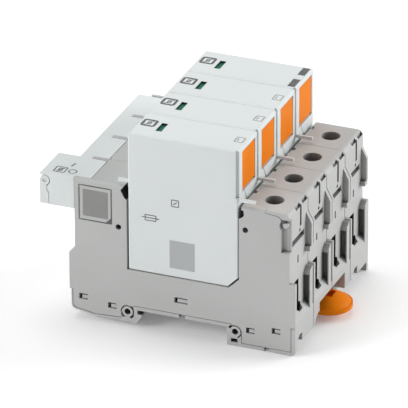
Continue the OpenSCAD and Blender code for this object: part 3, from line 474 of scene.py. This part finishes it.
def entryPath(back):
    turn = np.radians(np.linspace(*entryLook["turn"], entryLook["steps"]))
    wallY, keyZ = entryLook["wallY"], entryLook["keyZ"]
    r = entryLook["keyR"] - back
    arc = np.stack([wallY + r * np.cos(turn), keyZ + r * np.sin(turn)], -1)
    wall = np.array([[wallY - back, entryLook["top"]], [wallY - back, keyZ + r]])
    return np.concatenate([wall, arc])


entryOuter = entryPath(entryLook["play"])
entryInner = entryPath(entryLook["play"] + entryLook["thick"])
for number in poleNumbers:
    paintShadeSheet("entryShadeSheet_%d" % number, entryOuter, entryInner, 0, entryLook["x"], number)

# pockets beside the plugs: painted shade on the walls, drawn in towards a point inside
catchLook = {"left": [(-21.9, 45.35), (-22.7, 45.9), (-24.3, 48.9), (-22.76, 50.85)],
             "leftInside": (-22.3, 48.5),
             "right": [(22.7, 49.5), (24.4, 49.5), (24.7, 47.8), (24.2, 46.7), (23.0, 45.9),
                       (22.7, 45.9)],
             "rightInside": (23.2, 47.7), "y": (0.1, 6.0), "play": 0.03, "thick": 0.06}
for side in ("left", "right"):
    wall = np.array(catchLook[side])
    inward = np.array(catchLook[side + "Inside"]) - wall
    inward /= np.linalg.norm(inward, axis=1, keepdims=True)
    catchOuter = wall + inward * catchLook["play"]
    catchInner = wall + inward * (catchLook["play"] + catchLook["thick"])
    for number in poleNumbers:
        name = "catchShadeSheet_%s_%d" % (side, number)
        paintShadeSheet(name, catchOuter, catchInner, 1, catchLook["y"], number)
print("entries and pockets lined")

# signal box top: a framed sign, a ring and a stroke
moduleLook = {"z": 50.7, "line": 0.46, "height": 0.025,
              "frameAt": (-50.2, 4.8), "frameSize": (4.3, 4.2), "frameRound": 0.5,
              "boxSize": (1.2, 2.2), "boxRound": 0.15,
              "slant": [[-1.5, -1.3], [-1.0, -1.3], [1.0, 1.3], [1.5, 1.3]],
              "ringAt": (-45.3, 4.7), "ring": 1.5, "ringSteps": 28,
              "barAt": (-47.2, 10.0), "barEnd": (0.3, 1.4), "barPoints": 4, "barLine": 0.6}
moduleTop = levelFace(frontY, moduleLook["z"])
moduleLine, moduleHeight = moduleLook["line"], moduleLook["height"]
moduleFrame = roundLoop(moduleLook["frameAt"], moduleLook["frameSize"], moduleLook["frameRound"])
printLine("base", "moduleFrame", moduleTop, moduleFrame, moduleLine, moduleHeight)
moduleBox = roundLoop(moduleLook["frameAt"], moduleLook["boxSize"], moduleLook["boxRound"])
printLine("base", "moduleSymbolBox", moduleTop, moduleBox, moduleLine, moduleHeight)
moduleSlant = np.array(moduleLook["frameAt"]) + np.array(moduleLook["slant"])
printLine("base", "moduleSymbolSlant", moduleTop, moduleSlant, moduleLine, moduleHeight,
          closed=False)
ringTurn = np.linspace(0, 2 * np.pi, moduleLook["ringSteps"], endpoint=False)
ringUnit = np.stack([np.cos(ringTurn), np.sin(ringTurn)], -1)
ringPath = np.array(moduleLook["ringAt"]) + moduleLook["ring"] * ringUnit
printLine("base", "moduleRing", moduleTop, ringPath, moduleLine, moduleHeight)
moduleBar = strokePath(moduleLook["barAt"], moduleLook["barEnd"], moduleLook["barPoints"])
printLine("base", "moduleBar", moduleTop, moduleBar, moduleLook["barLine"], moduleHeight,
          closed=False)
print("signal module marks placed")

# glow is what the floor adds for the camera, glossy and transmitted rays, so that it shows white
floorLook = {"z": -7.12, "reach": 4000, "cuts": 9, "dark": (0.90, 0.90, 0.90),
             "light": (0.92, 0.92, 0.92), "drift": 3, "detail": 2, "rough": 0.9, "shine": 0.1,
             "glow": 0.15}


def floorMaterial():
    mat, nodes, links, skin = shaderNodes("paleFloor")
    noise = noiseOn(nodes, links, floorLook["drift"], floorLook["detail"])
    drift = spread(nodes, links, noise, 0, 1)
    tone = shadesOf(nodes, links, drift, floorLook["dark"], floorLook["light"])
    links.new(tone, skin.inputs["Base Color"])
    skin.inputs["Roughness"].default_value = floorLook["rough"]
    skin.inputs["Specular IOR Level"].default_value = floorLook["shine"]
    seen = nodes.new("ShaderNodeLightPath")
    lit = nodes.new("ShaderNodeEmission")
    lit.inputs["Color"].default_value = (1, 1, 1, 1)
    both = nodes.new("ShaderNodeAddShader")
    rays = seen.outputs["Is Camera Ray"]
    for kind in ("Is Glossy Ray", "Is Transmission Ray"):
        either = nodes.new("ShaderNodeMath")
        either.operation = "MAXIMUM"
        links.new(rays, either.inputs[0])
        links.new(seen.outputs[kind], either.inputs[1])
        rays = either.outputs["Value"]
    share = nodes.new("ShaderNodeMath")
    share.operation = "MULTIPLY"
    share.inputs[1].default_value = floorLook["glow"]
    links.new(rays, share.inputs[0])
    links.new(share.outputs["Value"], lit.inputs["Strength"])
    links.new(skin.outputs["BSDF"], both.inputs[0])
    links.new(lit.outputs["Emission"], both.inputs[1])
    links.new(both.outputs["Shader"], nodes["Material Output"].inputs["Surface"])
    return mat


span = np.linspace(-1, 1, floorLook["cuts"]) * floorLook["reach"]
floorX, floorY = np.meshgrid(span, span, indexing="ij")
floorGrid = np.stack([floorX, floorY, np.full_like(floorX, floorLook["z"])], -1)
floor = gridPiece("floor", floorGrid, floorMaterial())

skyStrength = 0.25
world = bpy.data.worlds.new("studio")
bpy.context.scene.world = world
world.use_nodes = True
sky = world.node_tree.nodes["Background"]
sky.inputs["Color"].default_value = (1, 1, 1, 1)
sky.inputs["Strength"].default_value = skyStrength


# an object stands at a place, with its own X, Y and Z along side, up and back
def stand(obj, side, up, back, place):
    turn = np.eye(4)
    turn[:3, 0], turn[:3, 1], turn[:3, 2], turn[:3, 3] = side, up, back, place
    obj.matrix_world = Matrix(turn.tolist())
    bpy.context.collection.objects.link(obj)


# soft panel lamps: places and sizes in metres, power in watts
lampAim = (0, 0, 0.03)
lampLooks = {
    "keyPanel": {"place": (-0.90, -0.76, 0.50), "size": (0.7, 0.6), "power": 9.8},
    "topPanel": {"place": (-0.30, 0.25, 1.25), "size": (0.8, 0.8), "power": 7.0},
    "sidePanel": {"place": (0.95, 0.76, 0.50), "size": (0.9, 0.6), "power": 13.5},
}
for name, look in lampLooks.items():
    lamp = bpy.data.lights.new(name, "AREA")
    lamp.shape = "RECTANGLE"
    lamp.size, lamp.size_y = look["size"]
    lamp.energy = look["power"]
    back = np.array(look["place"]) - lampAim
    back /= np.linalg.norm(back)
    side = np.cross((0, 0, 1), back)
    side /= np.linalg.norm(side)
    stand(bpy.data.objects.new(name, lamp), side, np.cross(back, side), back, look["place"])

# the photograph's view: place in mm, lens in mm on a 36 mm sensor
cameraLook = {"place": (755.34, -1890.10, 1046.03), "right": (0.92807, 0.37238, -0.00326),
              "up": (-0.16363, 0.41564, 0.89469), "ahead": (-0.33452, 0.82980, -0.44668),
              "lens": 536.88, "sensor": 36, "farthest": 50}
lensData = bpy.data.cameras.new("photoView")
lensData.sensor_width = cameraLook["sensor"]
lensData.sensor_fit = "HORIZONTAL"
lensData.lens = cameraLook["lens"]
lensData.clip_end = cameraLook["farthest"]
cameraObj = bpy.data.objects.new("photoView", lensData)
stand(cameraObj, cameraLook["right"], cameraLook["up"], -np.array(cameraLook["ahead"]),
      np.array(cameraLook["place"]) * mm)
bpy.context.scene.camera = cameraObj
bpy.context.scene.view_settings.view_transform = "Standard"
print("stage, lamps and camera set")
